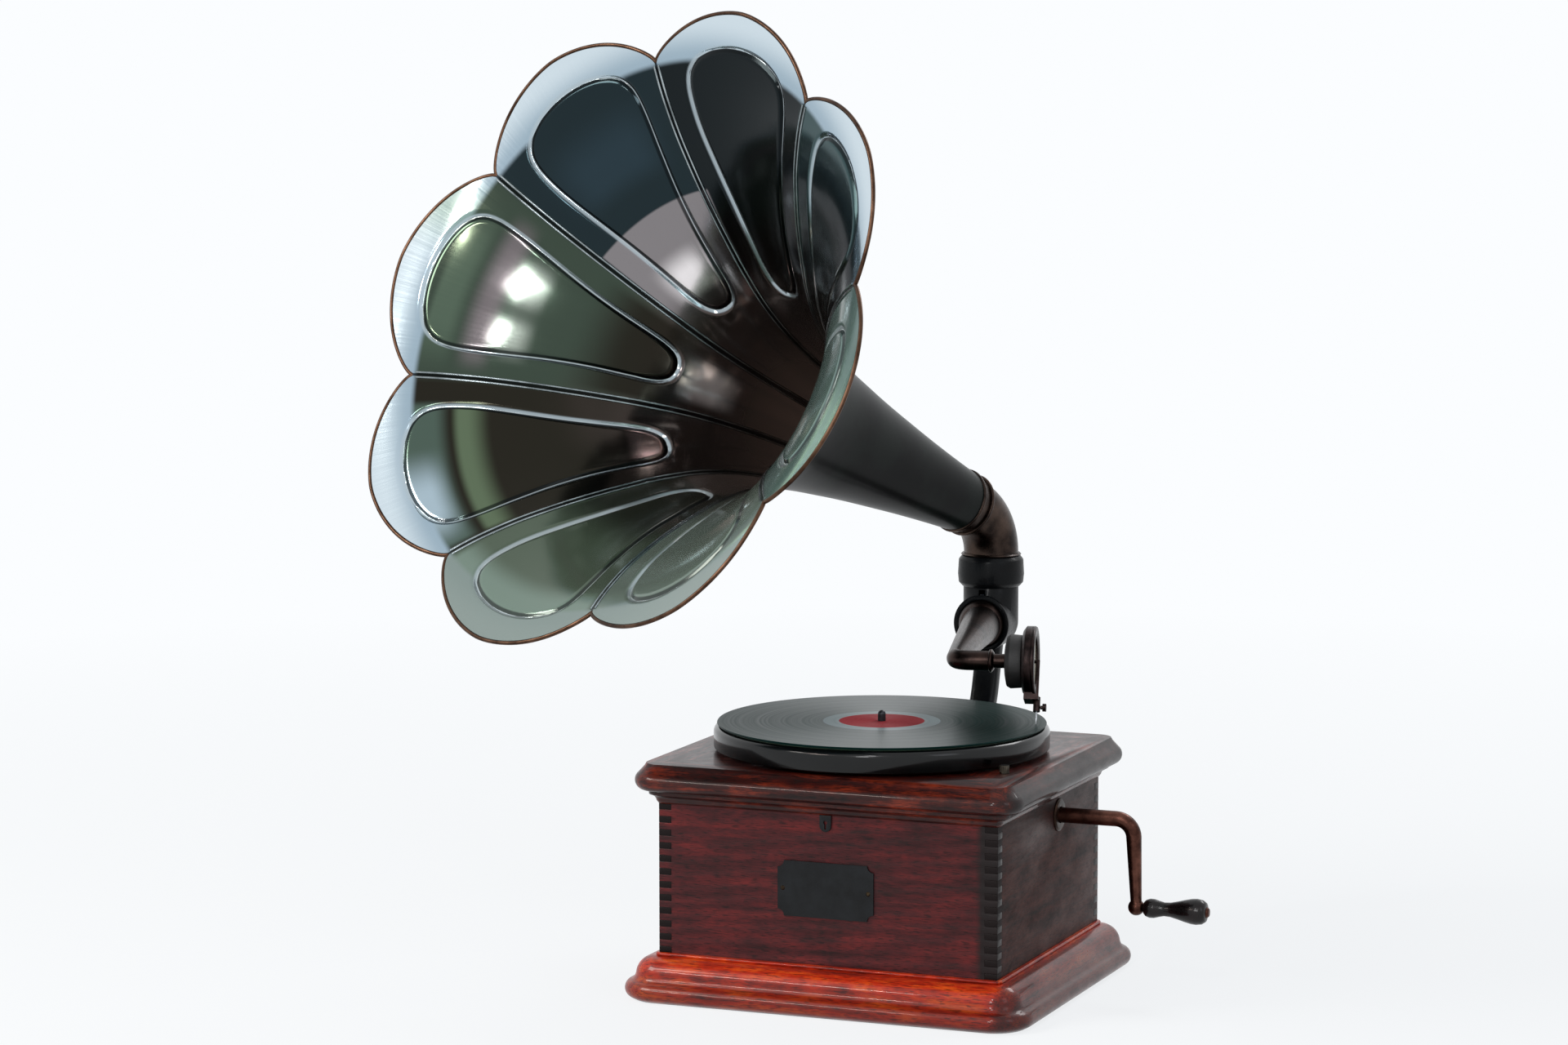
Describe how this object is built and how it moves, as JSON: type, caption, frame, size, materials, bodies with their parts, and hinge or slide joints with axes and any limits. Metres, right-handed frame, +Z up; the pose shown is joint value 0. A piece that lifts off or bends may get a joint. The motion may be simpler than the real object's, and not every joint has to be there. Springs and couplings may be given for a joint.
{
  "type": "gramophone",
  "caption": "Spring-driven table gramophone: mahogany cabinet, winding crank, turntable with record, swinging tone arm with sound box, and a petal horn on a rear bracket.",
  "frame": {"origin": "centre of the cabinet's underside", "axes": "+Z up, -Y to the front where the nameplate is, +X to the side with the winding crank"},
  "size_m": [0.7587, 0.6638, 0.8842],
  "materials": {
    "dark_mahogany": "French-polished dark red mahogany",
    "light_mahogany": "French-polished orange-red mahogany",
    "plain_board": "plain planed board",
    "black_iron": "black-japanned casting",
    "black_plate": "black enamelled plate",
    "bronzed_steel": "bronzed nickel plate, satin",
    "horn_steel": "polished sheet steel with a bronze tint",
    "motor_steel": "machined steel",
    "motor_brass": "machined brass",
    "spring_steel": "blued spring steel",
    "platter_steel": "black enamelled pressing",
    "green_felt": "wool felt",
    "shellac": "pressed shellac",
    "turned_wood": "ebonised turned wood",
    "soundbox_metal": "dark oxidised plate",
    "mica": "mica sheet",
    "rubber": "moulded rubber"
  },
  "bodies": {
    "cabinet": {"front_panel": "dark_mahogany", "back_panel": "dark_mahogany", "left_panel": "dark_mahogany", "right_panel": "dark_mahogany", "bottom_board": "plain_board", "base_moulding": "light_mahogany", "cove_moulding": "dark_mahogany", "lid_board": "dark_mahogany", "nameplate": "black_plate", "nameplate_pins": "bronzed_steel", "lid_catch": "black_plate", "crank_escutcheon": "bronzed_steel", "horn_bracket": "black_iron", "bracket_screws": "black_iron", "swivel_collar": "black_iron", "pivot_screws": "black_iron", "motor_top_plate": "motor_steel", "motor_bottom_plate": "motor_steel", "motor_pillars": "motor_steel", "motor_bolts": "motor_steel", "crank_bearing": "motor_steel", "spindle_bush": "motor_brass"},
    "turntable": {"spindle": "motor_steel", "platter": "platter_steel", "platter_felt": "green_felt", "record": "shellac"},
    "intermediate": {"intermediate_gear": "motor_brass"},
    "barrel": {"spring_barrel": "motor_brass", "mainspring": "spring_steel"},
    "winding": {"winding_wheel": "motor_brass"},
    "governor": {"governor_shaft": "motor_steel", "governor_weights": "motor_brass"},
    "speed_screw": {"speed_knob": "motor_steel"},
    "brake": {"speed_lever": "motor_steel"},
    "crank": {"crank_rod": "bronzed_steel", "crank_pinion": "motor_brass"},
    "handle": {"crank_handle": "turned_wood"},
    "tone_arm": {"tonearm_tube": "bronzed_steel", "tonearm_collar": "bronzed_steel"},
    "sound_box": {"rubber_flange": "rubber", "soundbox_shell": "soundbox_metal", "soundbox_bezel": "soundbox_metal", "diaphragm": "mica", "stylus_mount": "soundbox_metal"},
    "stylus": {"stylus_bar": "soundbox_metal", "needle": "motor_steel"},
    "clamp_screw": {"needle_screw": "soundbox_metal"},
    "horn": {"horn_elbow": "bronzed_steel", "throat_sleeve": "bronzed_steel", "petal_1": "horn_steel", "petal_2": "horn_steel", "petal_3": "horn_steel", "petal_4": "horn_steel", "petal_5": "horn_steel", "petal_6": "horn_steel", "petal_7": "horn_steel", "petal_8": "horn_steel", "horn_seams": "horn_steel", "rim_wire": "bronzed_steel"}
  },
  "joints": [
    {"name": "turntable_spin", "type": "hinge", "parent": "cabinet", "child": "turntable", "pos_m": [0, -0.002, 0.2384], "axis": [0, 0, 1], "continuous": true},
    {"name": "intermediate_spin", "type": "hinge", "parent": "cabinet", "child": "intermediate", "pos_m": [0.0387, -0.00683, 0.14], "axis": [0, 0, 1], "continuous": true},
    {"name": "barrel_spin", "type": "hinge", "parent": "cabinet", "child": "barrel", "pos_m": [0.07, 0.0255, 0.122], "axis": [0, 0, 1], "continuous": true},
    {"name": "governor_spin", "type": "hinge", "parent": "cabinet", "child": "governor", "pos_m": [-0.03011, -0.02639, 0.14], "axis": [0, 0, 1], "continuous": true},
    {"name": "crank_turn", "type": "hinge", "parent": "cabinet", "child": "crank", "pos_m": [0.17, 0.0255, 0.161], "axis": [1, 0, 0], "continuous": true},
    {"name": "winding_spin", "type": "hinge", "parent": "cabinet", "child": "winding", "pos_m": [0.07, 0.0255, 0.14], "axis": [0, 0, 1], "continuous": true},
    {"name": "handle_spin", "type": "hinge", "parent": "crank", "child": "handle", "pos_m": [0.2685, 0.03702, 0.07901], "axis": [1, 0, 0], "continuous": true},
    {"name": "speed_turn", "type": "hinge", "parent": "cabinet", "child": "speed_screw", "pos_m": [0.145, -0.079, 0.22], "axis": [0, 0, -1], "range_deg": [0, 300]},
    {"name": "brake_tilt", "type": "hinge", "parent": "cabinet", "child": "brake", "pos_m": [0.04858, -0.05078, 0.17625], "axis": [0.2809, 0.9597, 0], "range_deg": [0, 4]},
    {"name": "tonearm_swing", "type": "hinge", "parent": "cabinet", "child": "tone_arm", "pos_m": [0, 0.272, 0.295], "axis": [0, 0, 1], "range_deg": [-17.5, 13]},
    {"name": "soundbox_turn", "type": "hinge", "parent": "tone_arm", "child": "sound_box", "pos_m": [0.05649, 0.03669, 0.295], "axis": [-0.9724, -0.2334, 0], "range_deg": [0, 110]},
    {"name": "stylus_rock", "type": "hinge", "parent": "sound_box", "child": "stylus", "pos_m": [0.1343, 0.04073, 0.26303], "axis": [-0.2133, 0.8883, -0.4067], "range_deg": [-0.4, 0.4], "stiffness_Nm_per_rad": 0.5},
    {"name": "clamp_turn", "type": "hinge", "parent": "stylus", "child": "clamp_screw", "pos_m": [0.13506, 0.03756, 0.25572], "axis": [0.9724, 0.2334, 0], "range_deg": [0, 360]},
    {"name": "horn_turn", "type": "hinge", "parent": "cabinet", "child": "horn", "pos_m": [0, 0.296, 0.36], "axis": [0, 0, 1], "range_deg": [-60, 60]}
  ],
  "couplings": [
    {"joint": "intermediate_spin", "follows": "turntable_spin", "ratio": -0.3},
    {"joint": "barrel_spin", "follows": "turntable_spin", "ratio": 0.075},
    {"joint": "governor_spin", "follows": "turntable_spin", "ratio": -5.2},
    {"joint": "winding_spin", "follows": "crank_turn", "ratio": 0.33333},
    {"joint": "brake_tilt", "follows": "speed_turn", "ratio": 0.005}
  ]
}
